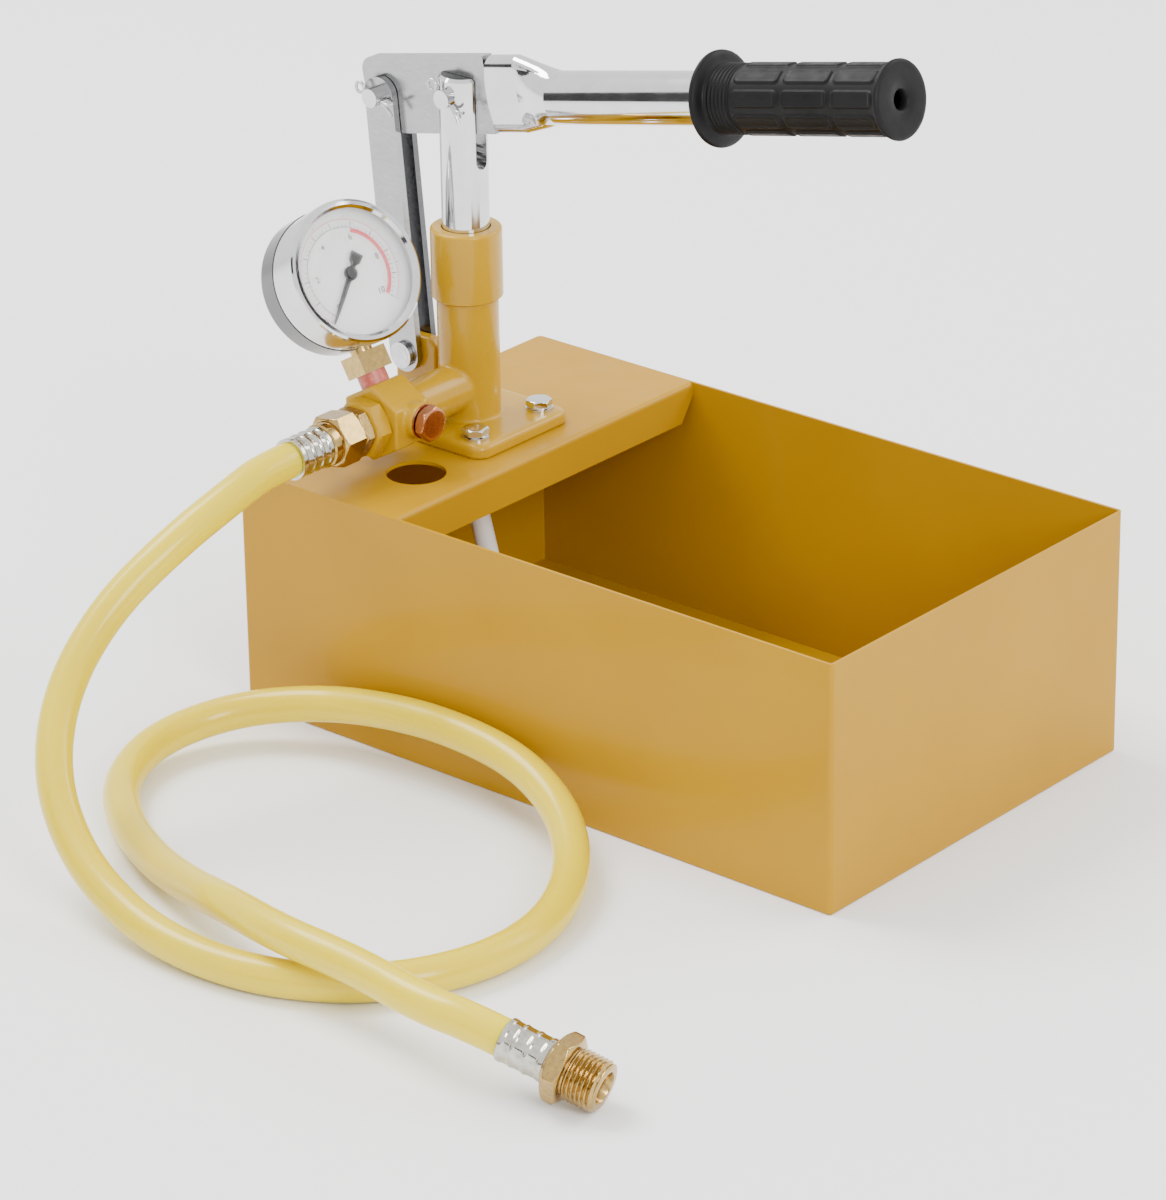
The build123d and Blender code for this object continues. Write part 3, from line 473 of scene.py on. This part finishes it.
def pad_height(u, ph):
    h = np.zeros_like(ph)
    seg = math.radians(40.0)
    a = np.mod(ph - math.radians(7.5) + seg / 2, seg) - seg / 2
    y = np.abs(a) * 14.3
    half_y = math.radians(15.2) * 14.3
    for u0, u1 in PADS:
        x = abs(u - (u0 + u1) / 2)
        half_x = (u1 - u0) / 2
        rad = 2.4
        qx, qy = np.maximum(x - (half_x - rad), 0), np.maximum(y - (half_y - rad), 0)
        d = np.hypot(qx, qy) + np.minimum(np.maximum(x - (half_x - rad), y - (half_y - rad)), 0) - rad
        rim = smooth(-d / 0.8) * 0.75
        dish = smooth((-d - 1.1) / 0.7) * 0.25
        h = np.maximum(h, rim - dish)
    return h


rows = [(135.0, 11.0), (135.0, 12.4), (135.6, 13.4), (136.6, 14.2), (137.0, 15.4)]
rows += [(137.2, 17.6), (137.5, 18.7), (138.0, 19.2), (138.7, 19.3), (139.4, 19.2), (140.0, 18.5), (140.4, 16.8), (140.9, 15.0)]
for k in range(0, 78):
    u = 141.2 + 0.15 * k
    ring = 0.62 * (0.5 + 0.5 * math.cos(2 * math.pi * (u - 141.2) / 1.95))
    rows.append((u, 13.55 + ring))
u = 153.0
while u < 225.6:
    flare = max(0.0, (u - 222.5) / 3.1) ** 2 * 0.55
    rows.append((u, (lambda ph, u=u, flare=flare: 13.65 + flare + pad_height(u, ph))))
    u += 0.4
rows += [(225.9, 14.35), (226.2, 14.9), (226.6, 15.4), (227.2, 15.75), (227.9, 15.8), (228.5, 15.5), (228.9, 14.8), (229.0, 13.6), (228.9, 9.0), (228.7, 5.0), (228.2, 4.1), (225.0, 4.0), (225.0, 11.0)]
grip_o = ROD_PIN + LV * (-2.3)
turned("rubber_grip", grip_o, LA, face_cam, rows, MAT["grip_rubber"], "lever", 288, True, stands_for=("handle_grip",), slot="grip_rubber", sharp=60)

# ---------------------------------------------------------------- gauge face
def ring_sector(r0, r1, a0, a1, n=60):
    outer = [(r1 * math.cos(a), r1 * math.sin(a)) for a in np.radians(np.linspace(a0, a1, n))]
    inner = [(r0 * math.cos(a), r0 * math.sin(a)) for a in np.radians(np.linspace(a1, a0, n))]
    quads = []
    for k in range(n - 1):
        quads.append([outer[k], outer[k + 1], inner[n - 2 - k], inner[n - 1 - k]])
    return quads


def tick(r0, r1, deg, w):
    a = math.radians(deg)
    c, s = math.cos(a), math.sin(a)
    return [(r0 * c - w * s, r0 * s + w * c), (r0 * c + w * s, r0 * s - w * c), (r1 * c + w * s, r1 * s - w * c), (r1 * c - w * s, r1 * s + w * c)]


black, red = [], []
for k in range(0, 51):
    deg = 225 - 270 * k / 50
    major = k % 5 == 0
    black.append(tick(19.7, 22.0 if major else 21.0, deg, 0.16 if major else 0.09))
for k in range(0, 71):
    deg = 225 - 270 * k / 70
    red.append(tick(22.9, 24.3 if k % 10 == 0 else 23.6, deg, 0.12 if k % 10 == 0 else 0.07))
black += ring_sector(19.55, 19.75, 225, 60)
red += ring_sector(17.7, 19.5, 63, -45)
red += ring_sector(22.75, 22.9, 225, -45, 90)
flat_marks("dial_marks_black", black, INK_BLACK, 12.84)
flat_marks("dial_marks_red", red, INK_RED, 12.84)


def dial_text(name, text, x, y, size, mat):
    c = bpy.data.curves.new(name + "_txt", "FONT")
    c.body = text
    c.size = size * MM
    c.align_x = "CENTER"
    c.align_y = "CENTER"
    c.offset = 0.00003
    t = bpy.data.objects.new(name + "_txt", c)
    scene.collection.objects.link(t)
    bpy.context.view_layer.update()
    me = bpy.data.meshes.new_from_object(t.evaluated_get(bpy.context.evaluated_depsgraph_get()))
    bpy.data.objects.remove(t)
    o = bpy.data.objects.new(name, me)
    base = GAUGE + FACE * (SHIFT + 12.84) + SIDE * x + STEM * y
    m = Matrix((SIDE, STEM, FACE)).transposed().to_4x4()
    m.translation = base * MM
    me.transform(m)
    me.materials.clear()
    me.materials.append(mat)
    scene.collection.objects.link(o)
    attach(o, "root")
    return o


for k in range(0, 6):
    a = math.radians(225 - 54 * k)
    dial_text(f"dial_number_{k * 2}", str(k * 2), 15.6 * math.cos(a), 15.6 * math.sin(a), 3.6, INK_BLACK)

# ---------------------------------------------------------------- split pins
def split_pin(name, at, run, body, node):
    d = Vector(run).normalized()
    e = d.cross(Vector((0, 1, 0)))
    p = Vector(at)
    eye = [p - d * (7.9 + 2.2 * math.cos(a)) + e * (2.2 * math.sin(a)) for a in np.linspace(0.35, 2 * math.pi - 0.35, 12)]
    leg1 = [p - d * 5.2 + e * 0.15, p + d * 5.5 + e * 0.3, p + d * 8.0 + e * 0.8, p + d * 10.8 + e * 3.4]
    leg2 = [p + d * 11.5 - e * 2.6, p + d * 8.2 - e * 0.9, p + d * 5.5 - e * 0.3, p - d * 5.2 - e * 0.15]
    pts = leg2 + eye[::-1] + leg1 if False else leg2 + [p - d * 5.6 - e * 0.6] + [p - d * (7.9 - 2.2 * math.cos(a)) - e * (2.2 * math.sin(a)) for a in np.linspace(0.6, 2 * math.pi - 0.6, 11)] + [p - d * 5.6 + e * 0.6] + leg1
    return curve(name, pts, 0.72, MAT["steel"], body, stands_for=(node,))


split_pin("rod_split_pin", (PX, -11.6, 253.5), (0.8, 0, -0.6), "plunger", "rod_pin_cotter")
split_pin("link_split_pin", (LINK_TOP.x, -9.2, LINK_TOP.z), (0.94, 0, -0.34), "link", "top_pin_cotter")

# ---------------------------------------------------------------- stage
def stage_mat(name, c, rough):
    m, nt, b = new_mat(name)
    b.inputs["Base Color"].default_value = (*c, 1)
    b.inputs["Roughness"].default_value = rough
    b.inputs["Specular IOR Level"].default_value = 0.15
    return m


def panel(name, size, at, look, mat):
    me = bpy.data.meshes.new(name)
    w, h = size[0] / 2, size[1] / 2
    me.from_pydata([(-w, -h, 0), (w, -h, 0), (w, h, 0), (-w, h, 0)], [], [(0, 1, 2, 3)])
    me.materials.append(mat)
    o = bpy.data.objects.new(name, me)
    scene.collection.objects.link(o)
    o.location = at
    d = (Vector(look) - Vector(at)).normalized()
    o.rotation_mode = "QUATERNION"
    o.rotation_quaternion = d.to_track_quat("-Z", "Y")
    return o


floor = panel("floor", (24, 24), (0, 0, 0), (0, 0, -1), stage_mat("floor_white", (0.93, 0.93, 0.93), 0.6))
floor.rotation_quaternion = (1, 0, 0, 0)
dark = stage_mat("flag_grey", (0.03, 0.03, 0.03), 0.8)
panel("flag_side", (1.3, 3.2), (3.0, -1.5, 1.2), (0, 0, 0.3), dark)
panel("flag_left", (0.5, 1.6), (-1.5, -1.5, 0.5), (0, 0, 0.2), dark)
panel("flag_low", (2.2, 0.35), (0.3, -2.6, 0.25), (0, 0, 0.25), dark)
panel("flag_right", (0.45, 1.8), (2.1, -0.2, 0.7), (0, 0, 0.2), dark)


def light(name, at, look, size, power, color=(1, 1, 1)):
    d = bpy.data.lights.new(name, "AREA")
    d.shape = "RECTANGLE"
    d.size, d.size_y = size
    d.energy = power
    d.color = color
    o = bpy.data.objects.new(name, d)
    scene.collection.objects.link(o)
    o.location = at
    o.rotation_mode = "QUATERNION"
    o.rotation_quaternion = (Vector(look) - Vector(at)).normalized().to_track_quat("-Z", "Y")
    return o


light("key", (-1.3, -0.2, 2.1), (0, -0.05, 0.1), (1.1, 1.1), 62)
light("rim", (1.0, 1.7, 1.5), (0, 0, 0.1), (1.6, 0.8), 22)
light("side", (2.0, -0.9, 1.3), (0.05, 0, 0.1), (0.9, 0.9), 44)

world = bpy.data.worlds.new("studio")
scene.world = world
world.use_nodes = True
wn = world.node_tree
bg = wn.nodes["Background"]
bg.inputs["Color"].default_value = (1, 1, 1, 1)
bg.inputs["Strength"].default_value = 1.7
